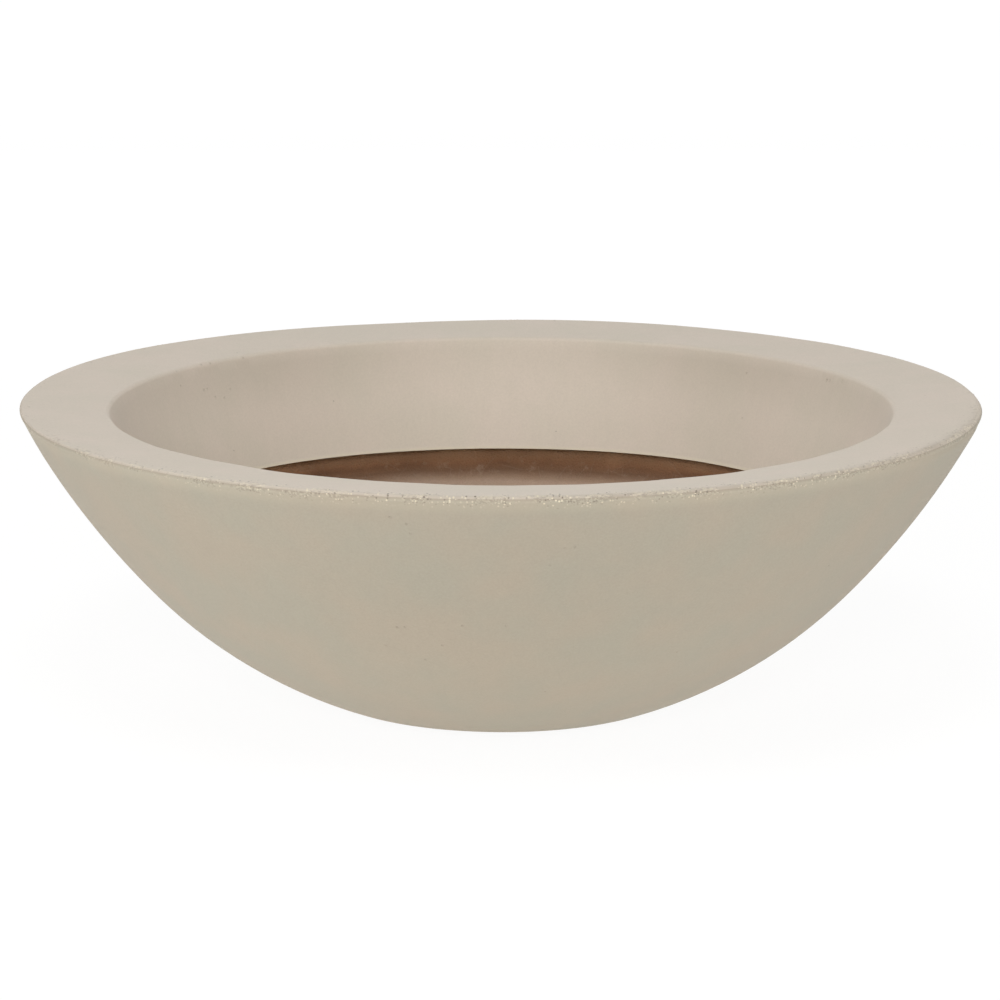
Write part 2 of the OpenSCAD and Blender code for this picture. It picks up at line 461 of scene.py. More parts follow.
def castFaceCoat(name, warm, cool, speckSize, drawnOut):  # drawnOut: a speck's length, in its widths
    material, tree, place = newMaterial(name)
    clouds = add(tree, "TexNoise", {"Vector": place, "Scale": perMetre(faceCoat["clouds"]), "Detail": 3})
    grain = add(tree, "TexNoise", {"Vector": place, "Scale": perMetre(faceCoat["grain"]), "Detail": 4,
                                   "Roughness": 0.65})
    spread = add(tree, "MapRange", {0: clouds, **broadNoise}, clamp=True)
    body = add(tree, "Mix", {0: spread, 6: linear(warm), 7: linear(cool)}, data_type="RGBA")
    grainy, streaky = faceCoat["swing"]
    light = add(tree, "MapRange", {0: grain, **fineNoise, 3: 1 - grainy, 4: 1 + grainy})
    drawn = add(tree, "VectorMath", {0: place, 1: [perMetre(size) for size in faceCoat["runs"]]},
                operation="MULTIPLY")
    runs = add(tree, "TexNoise", {"Vector": drawn, "Scale": 1, "Detail": 2})
    runLight = add(tree, "MapRange", {0: runs, 1: 0.3, 2: 0.7, 3: 1 - streaky, 4: 1 + streaky})
    lights = add(tree, "Math", {0: light, 1: runLight}, operation="MULTIPLY")
    grained = add(tree, "VectorMath", {0: body.outputs[2], 3: lights}, operation="SCALE")

    none, widest, holeShade = faceCoat["pinhole"]
    cells = add(tree, "TexVoronoi", {"Vector": place, "Scale": perMetre(faceCoat["pinholes"])})
    chosen = add(tree, "SeparateColor", {0: cells.outputs["Color"]})
    width = add(tree, "MapRange", {0: chosen, 1: none, 2: 1, 3: 0, 4: widest})
    hole = add(tree, "Math", {0: cells.outputs["Distance"], 1: width}, operation="LESS_THAN")
    # painted shade in the pinholes
    shade = add(tree, "Math", {0: hole, 1: holeShade}, operation="MULTIPLY")
    holed = add(tree, "Mix", {0: shade, 6: grained, 7: linear(faceCoat["dark"])}, data_type="RGBA")

    wearAndShade, band, tone = (add(tree, "Attribute", attribute_name=layer).outputs["Fac"] for layer in toneLayers)
    # wear and weathering, with painted shade over the rounded edge, in the hollow below it, under the lip and
    # on the collar's sides
    wornAndShaded = add(tree, "Mix", {0: wearAndShade, 6: holed.outputs[2], 7: linear(faceCoat["wornAndShaded"])}, data_type="RGBA")
    few, many = faceCoat["clustered"]
    cluster = add(tree, "TexNoise", {"Vector": place, "Scale": perMetre(faceCoat["clusters"]),
                                     "Detail": 2})
    share = add(tree, "MapRange", {0: cluster, 1: few, 2: many})
    amount = add(tree, "Math", {0: share, 1: band}, operation="MULTIPLY")
    sizes = (speckSize, speckSize * drawnOut, speckSize)
    across = add(tree, "VectorMath", {0: place, 1: [perMetre(size) for size in sizes]}, operation="MULTIPLY")
    solid, soft = faceCoat["speck"]
    darkUpTo, paleFrom = faceCoat["kinds"]
    specks = add(tree, "TexVoronoi", {"Vector": across, "Scale": 1})
    kind = add(tree, "SeparateColor", {0: specks.outputs["Color"]})
    near = add(tree, "MapRange", {0: specks.outputs["Distance"], 1: solid, 2: soft, 3: 1, 4: 0})
    paleKind = add(tree, "Math", {0: kind, 1: paleFrom}, operation="GREATER_THAN")
    darkKind = add(tree, "Math", {0: kind, 1: darkUpTo}, operation="LESS_THAN")
    seen = add(tree, "Math", {0: near, 1: amount}, operation="MULTIPLY")
    # dark specks: painted shade of pits
    dark = add(tree, "Math", {0: seen, 1: darkKind}, operation="MULTIPLY")
    up = add(tree, "Math", {0: seen, 1: paleKind, 2: tone}, operation="MULTIPLY_ADD", use_clamp=True)
    down = add(tree, "Math", {0: dark, 1: tone}, operation="SUBTRACT", use_clamp=True)
    paled = add(tree, "Mix", {0: up, 6: wornAndShaded.outputs[2], 7: linear(faceCoat["pale"])}, data_type="RGBA")
    done = add(tree, "Mix", {0: down, 6: paled.outputs[2], 7: linear(faceCoat["dark"])}, data_type="RGBA")

    heights = add(tree, "Math", {0: grain, 1: hole}, operation="SUBTRACT")
    relief = add(tree, "Bump", {"Height": heights, "Strength": 0.5, "Distance": faceCoat["relief"] * mm})
    finishMaterial(tree, done.outputs[2], faceCoat["rough"], relief, dusty=faceCoat["dusty"])
    return material


# Backing: the same cement without white pigment, sprayed with chopped glass fibre and rolled; brown,
# coarse, matt and uneven, with slurry that has dried paler where it was thin. By height it is paler low down,
# up to a wavy line, then brown, partly its own colour and partly painted shade under the collar, and paler
# again near the top, as painted light against the collar's shadow
backingLook = {
    # by height: the stops from 122 to 136 mm are darker, partly as painted shade under the collar's edge, and
    # those at 142 and 150 mm are painted light against the collar's shadow
    "tonesAndShade": [(105, "b8a590"), (114, "b09a86"), (119, "a88f7c"), (122, "937a65"), (125, "7f644f"),
              (128, "6d503a"), (132, "75533a"), (136, "926b4d"), (142, "a07d5e"), (150, "d6b793")],  # mm up
    "wavy": 7, "slurry": "b8a490",
    "blotch": 60, "lumps": 9, "grit": 1.6,
    "swing": (0.07, 0.08),   # how much lighter and darker blotches and grit make it
    "thin": (0.56, 0.72, 0.2),   # the noise at which slurry thins and is thinnest, and how much more it shows
    "rough": 0.92, "relief": 1.2,
}


def sprayedBacking(name, glaze):  # glaze: how far the slurry's own tone covers it
    material, tree, place = newMaterial(name)
    blotch = add(tree, "TexNoise", {"Vector": place, "Scale": perMetre(backingLook["blotch"]),
                                    "Detail": 4, "Distortion": 0.6})
    lumps = add(tree, "TexNoise", {"Vector": place, "Scale": perMetre(backingLook["lumps"]), "Detail": 5,
                                   "Roughness": 0.7})
    grit = add(tree, "TexNoise", {"Vector": place, "Scale": perMetre(backingLook["grit"]), "Detail": 2})
    along = add(tree, "SeparateXYZ", {0: place})
    most = backingLook["wavy"] * mm / 2
    shift = add(tree, "MapRange", {0: blotch, 3: -most, 4: most})
    level = add(tree, "Math", {0: along.outputs[2], 1: shift}, operation="ADD")
    tonesAndShade = backingLook["tonesAndShade"]
    lowest, highest = tonesAndShade[0][0], tonesAndShade[-1][0]
    share = add(tree, "MapRange", {0: level, 1: lowest * mm, 2: highest * mm})
    ramp = add(tree, "ValToRGB", {0: share})
    stops = ramp.color_ramp.elements
    for height, colour in tonesAndShade[1:-1]:
        stops.new((height - lowest) / (highest - lowest))
    for stop, (height, colour) in zip(stops, tonesAndShade):
        stop.color = linear(colour)
    thins, thinnest, paler = backingLook["thin"]
    thin = add(tree, "MapRange", {0: lumps, 1: thins, 2: thinnest, 3: glaze, 4: glaze + paler})
    pale = add(tree, "Mix", {0: thin, 6: ramp, 7: linear(backingLook["slurry"])}, data_type="RGBA")
    blotchy, gritty = backingLook["swing"]
    patch = add(tree, "MapRange", {0: blotch, **broadNoise, 3: 1 - blotchy, 4: 1 + blotchy})
    light = add(tree, "MapRange", {0: grit, **fineNoise, 3: 1 - gritty, 4: 1 + gritty})
    both = add(tree, "Math", {0: patch, 1: light}, operation="MULTIPLY")
    tinted = add(tree, "VectorMath", {0: pale.outputs[2], 3: both}, operation="SCALE")
    heights = add(tree, "Math", {0: lumps, 1: 1.5, 2: grit}, operation="MULTIPLY_ADD")
    relief = add(tree, "Bump", {"Height": heights, "Strength": 0.8, "Distance": backingLook["relief"] * mm})
    finishMaterial(tree, tinted, backingLook["rough"], relief)
    return material


def plainMoulded(name, colour, paler, size, roughness, rise, ior=1.5):  # size and rise of the grain, mm
    material, tree, place = newMaterial(name)
    cloud = add(tree, "TexNoise", {"Vector": place, "Scale": perMetre(size * 12), "Detail": 3})
    grain = add(tree, "TexNoise", {"Vector": place, "Scale": perMetre(size), "Detail": 2})
    body = add(tree, "Mix", {0: cloud, 6: linear(colour), 7: linear(paler)}, data_type="RGBA")
    rough = add(tree, "MapRange", {0: cloud, 3: roughness - 0.08, 4: roughness + 0.08})
    relief = add(tree, "Bump", {"Height": grain, "Strength": 0.6, "Distance": rise * mm})
    finishMaterial(tree, body.outputs[2], rough, relief, ior)
    return material


# The wall's coat is mixed darker than the rim's: partly the coats' own tints, and partly painted shade on the
# wall, which faces down and away from the light
wallCoat = castFaceCoat("castFaceCoatWall", "aba08f", "a7a090", 2.1, 1)
rimCoat = castFaceCoat("castFaceCoatRim", "d0c4b6", "ccc2b3", 2.2, 3)
backing = sprayedBacking("sprayedFibreBacking", 0)
strandCoat = sprayedBacking("slurryGlazedGlassFibre", 0.07)
# Sand and cement mortar, trowelled: matt, sandy and unevenly grey-brown
mortar = plainMoulded("trowelledMortar", "8f8271", "a59781", 2.5, 0.92, 0.5)
# Polypropylene, injection-moulded in a fine-grained mould: nearly black, with a low satin gloss
polypropylene = plainMoulded("mouldedPolypropylene", "3a3b3d", "46474a", 0.5, 0.5, 0.03, 1.49)
# Rubber with carbon black, compression-moulded: black, dull and slightly bloomed
plugRubber = plainMoulded("mouldedPlugRubber", "28292a", "343536", 0.8, 0.68, 0.05, 1.52)
# Rubber sheet, pressed and stamped: the same with a coarser grain, greyed by dust
padRubber = plainMoulded("pressedPadRubber", "2c2d2e", "3d3d3d", 1.2, 0.8, 0.12, 1.52)
print("materials ready")


def outerPoint(azimuth, reach, height):
    r, z = settle(azimuth, reach, height)
    return placeAt(azimuth, r, z + cornerZ)


def edgeMarks(coat, seed, count, radii, depthShare, shade):  # air holes or grains in clusters along the edge
    draw = random.Random(seed)
    (broad, down, small), (least, more) = edge["clusters"], edge["clustered"]
    marks = []
    while len(marks) < count:
        azimuth = draw.uniform(-180, 180)
        run = coat["side"] * (abs(draw.gauss(0, coat["spread"])) + edge["firstMark"])
        crowd = noise.noise(Vector((azimuth * broad, run * down, 7.3)))
        crowd += 0.5 * noise.noise(Vector((azimuth * small, 0, 2)))
        if draw.random() > (least + more * crowd) * chippedAt(azimuth) or abs(run) > coat["band"] - 1:
            continue
        point, lean = edgeSpot(run, edgeRadiusAt(azimuth))
        spot, radius = outerPoint(azimuth, point.x, point.y), draw.uniform(*radii)
        marks.append((spot, radius, radius * depthShare, shade * draw.uniform(0.5, 1)))
    return marks


def bandLine(coat):  # fine rows beside the edge, then a few that widen to the spacing beyond
    rows = round(coat["band"] / edge["fine"])
    runs = [k * edge["fine"] for k in range(rows + 1)] + [coat["band"] + extra for extra in edge["graded"]]
    return [(*edgeSpot(coat["side"] * run, form["edgeRadius"]), coat["side"] * run) for run in runs]


# Wear by the edge, with painted shade over the rounded edge and in the hollow below it, and painted light on
# the wall below the edge
def shadeEdge(bm, side):
    reach, height, lean, run, wearAndShade, band, tone = layersOf(bm, *sectionLayers, *toneLayers)
    edgeWearAndShade, start, end = edge["edgeWearAndShade"]
    rimWearAndShade, fade = edge["rimWearAndShade"]
    comes, full, thins, ends = edge["speckled"]
    pale, *places = edge["paintedLightBelowEdge"]
    least, front, *centre = edge["frontWearAndShade"]
    for vert in bm.verts:
        away = vert[run]
        if abs(away) > far / 2:
            away = side * fromCorner(vert[reach], vert[height])
        azimuth = azimuthOf(vert.co)
        vert[band] = smooth(away, comes, full) * (1 - smooth(away, thins, ends)) * chippedAt(azimuth)
        gone = edgeWearAndShade * (1 - smooth(abs(away), start, end))
        if away > 0:
            # painted light on the wall below the edge
            vert[tone] = pale * smooth(away, *places[:2]) * (1 - smooth(away, *places[2:]))
        else:
            further = bumps(azimuth, edge["wideWearAndShade"])
            share = least + front * bump(azimuth, *centre)
            gone = max(gone, rimWearAndShade * share * exp(min(0, away + further) / fade))
        patchy = 1 + edge["patchy"] * noise.noise(Vector((azimuth * 0.3, away * 0.1, 3)))
        # painted shade in the hollow, added to the edge's wear and painted shade
        vert[wearAndShade] = min(1, edge["hollowShade"] * hollowAt(azimuth, away) + gone * patchy)


def refineSpots(bm, spots, passes):  # a finer mesh round each air hole; passes: (radius, cuts)
    tree = KDTree(len(spots))
    for k, spot in enumerate(spots):
        tree.insert(spot * mm, k)
    tree.balance()
    for radius, cuts in passes:
        near = {v for v in bm.verts if tree.find(v.co)[2] < radius * mm}
        edges = {e for v in near for f in v.link_faces for e in f.edges}
        bmesh.ops.subdivide_edges(bm, edges=list(edges), cuts=cuts, use_grid_fill=True)


# Makes a face coat of its rubbed edge, the rest of its face and its hidden back. Only the rim's coat has a
# ripple and a shade of its own
def castSkin(coat, outer, rest, inner, spots, holes, ripple=None, shade=None):
    def relief(azimuth, r, h):
        fade = smooth(fromCorner(r, h), *coat["unevenFrom"])
        uneven = fade * coat["unevenness"] * (pattern(azimuth, r, h, coat["unevenSize"]) - coat["sunk"])
        return uneven + (ripple(azimuth, r, h) if ripple else 0)

    bm = turnSection(outer + offEdge(rest[1:] + inner[::-1]), turns["coat"])
    for layer in toneLayers:
        bm.verts.layers.float.new(layer)
    run = bm.verts.layers.float["run"]
    beside = [v for v in bm.verts if abs(v[run]) < coat["band"] + 0.01]
    divideRings(bm, beside, turns["edge"] // turns["coat"])
    placeRings(bm, relief, inner)
    refineSpots(bm, spots, coat["refined"])
    bm.normal_update()
    shadeEdge(bm, coat["side"])
    if shade:
        shade(bm)
    marks = edgeMarks(coat, coat["seed"], *coat["holes"])
    marks += edgeMarks(coat, coat["seed"] + 1, *coat["grains"])
    depth, dark = coat["single"]
    dent(bm, marks + [(spot, hole[2], hole[2] * depth, dark) for spot, hole in zip(spots, holes)])
    keepInside(bm)
    return bm


# The bowl's face coat
bowlSkin = {
    "side": 1, "band": 14.4,   # the rubbed edge lies on the wall (1), this far down
    "spacing": 13, "hiddenSpacing": 44, "refined": ((7, 3), (3, 3)),
    "unevenness": 0.25, "unevenSize": 85, "unevenFrom": (8, 40),
    "sunk": 0.3,               # the share of the unevenness by which all of it lies lower
    "seed": 41, "spread": 3,
    "holes": (1500, (0.4, 0.95), 0.35, -0.26),   # how many, radius, depth as a share of it, and tone, here painted shade in the holes
    "grains": (1300, (0.4, 0.8), -0.2, 0.3),
    "single": (0.4, -0.16),    # the same for each air hole below: depth, and the painted shade in it
}
# Air holes on the wall: azimuth, height above the floor, radius
wallHoles = [(-104.2, 133.9, 1.6), (-103.1, 134.6, 1.3), (-95.2, 138.1, 1.4), (-98.4, 117.8, 1.3),
             (-101.4, 102, 1.3), (-102.1, 235, 1.6), (-100.4, 230, 1.3), (-100.1, 221.8, 1.2),
             (-81.8, 210.6, 1.3), (-82.9, 209.8, 1.1), (-84.4, 194.6, 1.2), (-89.4, 138.6, 1.3),
             (-106.8, 114.4, 1.2), (12, 190, 1.4), (58, 150, 1.3), (97, 212, 1.5),
             (141, 120, 1.2), (171, 201, 1.4)]


def wallSpot(azimuth, z):  # point on the wall's face at that height above the floor
    height = z - cornerZ
    upper = (upperCentre, form["upperRadius"], form["topLean"], form["bellyLean"])
    belly = (bellyCentre, form["bellyRadius"], form["bellyLean"], form["heelLean"])
    for centre, radius, low, high in (upper, belly):
        lean = degrees(asin((centre.y - height) / radius))
        if low <= lean <= high:
            return outerPoint(azimuth, centre.x + radius * cos(radians(lean)), height)


def makeBowlSkin():
    outer = bandLine(bowlSkin)
    below = form["topLean"] + degrees(outer[-1][2] / form["upperRadius"])
    rest = wallLine(0, bowlSkin["spacing"], below)
    inner = wallLine(form["coat"], bowlSkin["hiddenSpacing"])
    spots = [wallSpot(azimuth, z) for azimuth, z, radius in wallHoles]
    bm = castSkin(bowlSkin, outer, rest, inner, spots, wallHoles)
    build("bowl_skin", bm, ["bowl_face_coat"], wallCoat)


makeBowlSkin()

# The rim's and collar's face coat
rimSkin = {
    "side": -1, "band": 12.8,   # the rubbed edge lies on the rim (-1), this far in
    "spacing": 9, "hiddenSpacing": 40, "lipSpacing": 0.9, "refined": ((5.5, 3), (3, 3)),
    "unevenness": 0.22, "unevenSize": 70, "unevenFrom": (14, 35), "sunk": 0.5,
    "lipWaver": 0.55, "waverSize": 38, "waverTo": (3, 26), "waverSunk": 0.4, "freeEdge": 0.8,
    "seed": 77, "spread": 8,
    # the last number of holes and of single is the painted shade in the air holes
    "holes": (1500, (0.7, 1.4), 0.35, -0.3),
    "grains": (1500, (0.6, 1.25), -0.2, 0.42),
    "single": (0.45, -0.2),
    "weathered": 0.09,         # how far the rim face's own tone is gone
    "shadeUnderLip": (0.2, 0.06, 0.6),  # painted shade on the collar just under the lip: how far its tone is gone, and where on the collar it comes and ends
    "shadedSides": [(50, 21, 0.25), (128, 22, 0.19)],   # painted shade on the collar's sides: azimuth, width, how far
    "sideShadeFoot": 0.6,          # the share of that painted shade that is left at the free edge
    "footHighlight": (0.5, 2.5),    # painted highlight along the free edge: how pale, and how far up, in mm
}
# Air holes on the collar: azimuth, height above the floor, radius
collarHoles = [(144.6, 247, 1.6), (142.6, 246.6, 1.5), (151, 246.8, 1.4), (135.4, 245.8, 1.5),
               (151.1, 233.8, 1.2), (145.6, 225.4, 1.5), (144.8, 225.8, 1.2), (143.4, 217.6, 1.2),
               (141.4, 215.2, 1.3), (139.6, 221.6, 1.1), (28.2, 239.4, 1.9), (27.4, 239.7, 1.6),
               (23.8, 242.6, 1.6), (46.6, 231.2, 1.1), (45.6, 192.4, 1), (-14, 240, 1.2),
               (-18, 238, 1.1), (-24, 241, 1.2), (-28, 239.5, 1.1), (-33, 242, 1.2)]


def collarSpot(azimuth, z):
    height = z - cornerZ
    return outerPoint(azimuth, lip.x + (height - lip.y) * tan(radians(collarLean)), height)


def roundFoot(rest, back):  # the free edge, softened by a quarter turn from the face to the back
    foot, lean = rest.pop()
    up, across = (rest[-1][0] - foot).normalized(), (back - foot).normalized()
    rise = rimSkin["footHighlight"][1]
    rest += [(foot + step * up, lean) for step in (rise + 1.5, rise / 2)]
    start, end = foot + rimSkin["freeEdge"] * up, foot + rimSkin["freeEdge"] * across
    for k in range(5):
        t = k / 4
        rest.append((start.lerp(foot, t).lerp(foot.lerp(end, t), t), lean + t * (90 - lean - 360)))


# Painted shade under the lip and on the collar's sides, over the rim's even weathering, and a painted
# highlight along the free edge
def shadeCollar(bm):
    reach, height, wearAndShade, tone = layersOf(bm, "reach", "height", "wearAndShade", "tone")
    shadeUnderLip, shadeFullAt, shadeEndsAt = rimSkin["shadeUnderLip"]
    pale, rise = rimSkin["footHighlight"]
    weathered = rimSkin["weathered"]
    for vert in bm.verts:
        down = (lip.y - vert[height]) / (lip.y + form["collarDepth"])
        if vert[reach] < lip.x + 1 and down > 0:
            # painted shade on the collar's sides, less of it down towards the free edge
            sideShade = bumps(azimuthOf(vert.co), rimSkin["shadedSides"])
            sideShade *= 1 + (rimSkin["sideShadeFoot"] - 1) * down
            # painted shade, darkest just under the lip and fading down the collar
            gone = shadeUnderLip * (1 - smooth(down, 0, shadeEndsAt)) + sideShade
            vert[wearAndShade] = max(vert[wearAndShade], weathered + (gone - weathered) * smooth(down, 0, shadeFullAt))
            # painted highlight along the free edge
            vert[tone] = pale * (1 - smooth(vert[height] + form["collarDepth"], rise / 2, rise))
        else:
            vert[wearAndShade] = max(vert[wearAndShade], weathered)


def rippleLip(azimuth, r, h):
    atLip = 1 - smooth(hypot(r - lip.x, h - lip.y), *rimSkin["waverTo"])
    waver = pattern(azimuth, lip.x, lip.y, rimSkin["waverSize"]) - rimSkin["waverSunk"]
    return atLip * rimSkin["lipWaver"] * waver


def makeRimSkin():
    outer = bandLine(rimSkin)
    rest = rimLine(0, rimSkin["spacing"], outer[-1][0], rimSkin["lipSpacing"])
    inner = rimLine(form["coat"], rimSkin["hiddenSpacing"])
    roundFoot(rest, inner[-1][0])
    spots = [collarSpot(azimuth, z) for azimuth, z, radius in collarHoles]
    bm = castSkin(rimSkin, outer, rest, inner, spots, collarHoles, rippleLip, shadeCollar)
    build("rim_skin", bm, ["rim_face_coat"], rimCoat)


makeRimSkin()

# The backings, sprayed and rolled: relief and the size of its features, in mm
sprayed = {"spacing": 5.5, "hiddenSpacing": 40, "rolled": 0.9, "rolledSize": 26, "lumpy": 0.35,
           "lumpySize": 6, "clearOfFlange": (30, 45), "clearOfRim": (45, 75)}


def sprayedRelief(azimuth, r, h):
    fade = smooth(r, *sprayed["clearOfFlange"]) * smooth(fromCorner(r, h), *sprayed["clearOfRim"])
    return fade * -(sprayed["rolled"] * pattern(azimuth, r, h, sprayed["rolledSize"])
                    + sprayed["lumpy"] * pattern(azimuth, r, h, sprayed["lumpySize"]))


def makeBacking(name, node, faceLine):
    outer = faceLine(form["coat"], sprayed["hiddenSpacing"])
    inner = faceLine(form["layUp"], sprayed["spacing"])
    bm = turnSection(offEdge(outer + inner[::-1]), turns["layUp"])
    placeRings(bm, sprayedRelief, outer)
    build(name, bm, [node], backing)


makeBacking("bowl_layup", "bowl_backing", wallLine)
makeBacking("rim_layup", "rim_backing", rimLine)

# Flat strands of chopped glass fibre, rolled into the last layer and glazed with slurry
strands = {"count": 1500, "long": (12, 32), "wide": (0.5, 1.1), "thick": 0.14, "proud": 0.1, "stride": 4,
           "wander": 0.12, "from": 34, "to": 316, "seed": 12}


def makeStrands():
    draw = random.Random(strands["seed"])
    stops = [(p.x, p.y, lean) for p, lean in reversed(wallLine(form["layUp"], 3))]
    reaches = [stop[0] for stop in stops]
    bm = bmesh.new()
    for _ in range(strands["count"]):
        reach = sqrt(draw.uniform(strands["from"] ** 2, strands["to"] ** 2))
        turn, heading = draw.uniform(-pi, pi), draw.uniform(-pi, pi)
        spot = Vector((reach * cos(turn), reach * sin(turn)))
        steps = round(draw.uniform(*strands["long"]) / strands["stride"])
        width = draw.uniform(*strands["wide"])
        ends = spot + steps * strands["stride"] * Vector((cos(heading), sin(heading)))
        if not strands["from"] < ends.length < strands["to"] - 4:
            continue
        ribbon = bmesh.ops.create_grid(bm, x_segments=steps, y_segments=1, size=1)["verts"]
        ribbon.sort(key=lambda v: (round(v.co.x, 4), v.co.y))
        for k in range(0, len(ribbon), 2):
            side = Vector((-sin(heading), cos(heading))) * width / 2
            for vert, way in zip(ribbon[k:k + 2], (-1, 1)):
                place = spot + way * side
                r = min(strands["to"] + 2, place.length)
                at = min(max(bisect_right(reaches, r) - 1, 0), len(stops) - 2)
                (r0, h0, lean), (r1, h1, other) = stops[at], stops[at + 1]
                height = h0 + (h1 - h0) * (r - r0) / (r1 - r0)
                lift = (sprayedRelief(azimuthOf(place), r, height) - strands["proud"]) * face(lean)
                aim = place.normalized() * (r + lift.x)
                vert.co = Vector((aim.x, aim.y, height + lift.y + cornerZ)) * mm
            heading += draw.gauss(0, strands["wander"])
            spot += strands["stride"] * Vector((cos(heading), sin(heading)))
    faceOutwards(bm)
    bmesh.ops.solidify(bm, geom=bm.faces[:], thickness=strands["thick"] * mm)
    build("glass_strands", bm, [], strandCoat, 60)


makeStrands()

# The trowelled bead of mortar in the rim's hollow corner
bead = {"width": 32, "hollow": 0.45, "rows": 10, "trowelled": 0.8, "trowelSize": 34, "rough": 0.3,
        "roughSize": 5}


def makeBead():
    def relief(azimuth, r, h):
        return (bead["trowelled"] * pattern(azimuth, r, h, bead["trowelSize"])
                + bead["rough"] * pattern(azimuth, r, h, bead["roughSize"]))

    lean = wallLeanAt(form["layUp"])
    radius = form["upperRadius"] - form["layUp"]
    wallSide = arc(upperCentre, radius, lean, lean + degrees(bead["width"] / radius), 16)
    apex, foot = wallSide[0][0], wallSide[-1][0]
    top = apex + bead["width"] * rimIn
    pull = (foot + top) / 2 + bead["hollow"] * (apex - (foot + top) / 2)
    hollow = []
    for k in range(1, bead["rows"] + 1):
        t = k / bead["rows"]
        along = (1 - t) * (pull - foot) + t * (top - pull)
        spot = foot.lerp(pull, t).lerp(pull.lerp(top, t), t)
        hollow.append((spot, degrees(atan2(along.x, along.y))))
    bm = turnSection(offEdge(wallSide + hollow), turns["layUp"])
    placeRings(bm, relief, wallSide + hollow[-1:])
    build("bonding_bead", bm, ["rim_bond"], mortar)


makeBead()


# Small turned parts: corners are (distance from the axis, height above the floor, softening)
def softened(corners, steps=4):
    line = []
    for k, (x, y, size) in enumerate(corners):
        here = Vector((x, y))
        if not size:
            line.append(here)
            continue
        before, after = Vector(corners[k - 1][:2]), Vector(corners[(k + 1) % len(corners)][:2])
        start, end = (here + size * (other - here).normalized() for other in (before, after))
        for t in (step / steps for step in range(steps + 1)):
            line.append(start.lerp(here, t).lerp(here.lerp(end, t), t))
    return line


def turnPart(line, closed, steps=96):
    bm = bmesh.new()
    spinLine(bm, [bm.verts.new((p.x * mm, 0, p.y * mm)) for p in line], closed, steps)
    bmesh.ops.remove_doubles(bm, verts=bm.verts, dist=1e-6)
    faceOutwards(bm)
    return bm


def joinTo(bm, part):
    mesh = meshFrom(part, "part")
    bm.from_mesh(mesh)
    bpy.data.meshes.remove(mesh)


base = cornerZ + baseHeight
inside = base + form["layUp"]

# Flanged bush, injection-moulded
sleeve = {"bore": 13, "boreTop": 14, "flange": 27, "thick": 2.5, "slope": 1.25, "soft": 0.35}


def makeSleeve():
    top, soft = inside + sleeve["thick"], sleeve["soft"]
    bm = turnPart(softened([
        (sleeve["bore"], base, soft), (form["drainRadius"], base, soft), (form["drainRadius"], inside, 0),
        (sleeve["flange"], inside, 0.15), (sleeve["flange"], top - sleeve["slope"], soft),
        (sleeve["flange"] - sleeve["slope"], top, soft), (sleeve["boreTop"], top, 0.6)]), True)
    build("drain_bush", bm, ["drain_sleeve"], polypropylene, 40)


makeSleeve()

# Stopper, moulded in one with its tab; ribs on the tab for grip
plug = {"foot": 1, "footRadius": 12.7, "topRadius": 13.7, "seat": 0.2, "lips": (3, 8), "lipWide": 2,
        "lipProud": 0.2, "head": 21, "headThick": 3.5, "domeRadius": 12, "dome": 1.5,
        "tabWide": 24, "tabThick": 5, "tabHigh": 11, "tabSoft": 1.1, "tabSteps": 28,
        "ribs": (5.2, 7.4, 9.6), "ribWide": 13, "ribNarrows": 0.35, "ribThick": 0.9, "ribProud": 0.45,
        "ribSoft": 0.25}


def soften(bm, edges, size, segments):
    bmesh.ops.bevel(bm, geom=list(edges), offset=size * mm, affect="EDGES", segments=segments, profile=0.5,
                    material=-1)


def makeTab(bottom, centreZ):
    bm = bmesh.new()
    radius, half = plug["tabWide"] / 2, plug["tabThick"] / 2
    angles = [pi * k / plug["tabSteps"] for k in range(plug["tabSteps"] + 1)]
    outline = [(radius, bottom)] + [(radius * cos(a), centreZ + radius * sin(a)) for a in angles]
    outline.append((-radius, bottom))
    front = bm.faces.new([bm.verts.new((x * mm, -half * mm, z * mm)) for x, z in outline])
    lifted = bmesh.ops.extrude_face_region(bm, geom=[front])["geom"]
    bmesh.ops.translate(bm, verts=[v for v in lifted if isinstance(v, bmesh.types.BMVert)],
                        vec=(0, plug["tabThick"] * mm, 0))
    faceOutwards(bm)
    soften(bm, [e for e in bm.edges if abs(e.verts[0].co.y - e.verts[1].co.y) < 1e-6
                and max(v.co.z for v in e.verts) > (bottom + 0.1) * mm], plug["tabSoft"], 3)
    turnedCube = Matrix.Rotation(pi / 2, 4, "X")
    for side in (-1, 1):
        for rise in plug["ribs"]:
            made = bmesh.ops.create_cube(bm, size=1)["verts"]
            size = (plug["ribWide"] - plug["ribNarrows"] * rise, plug["ribThick"], 2 * plug["ribProud"])
            place = Matrix.Translation(Vector((0, side * half, bottom + rise)) * mm)
            scaled = Matrix.Diagonal(Vector(size + (1 / mm,)) * mm)
            bmesh.ops.transform(bm, matrix=place @ turnedCube @ scaled, verts=made)
            soften(bm, {e for v in made for e in v.link_edges}, plug["ribSoft"], 2)
    return bm


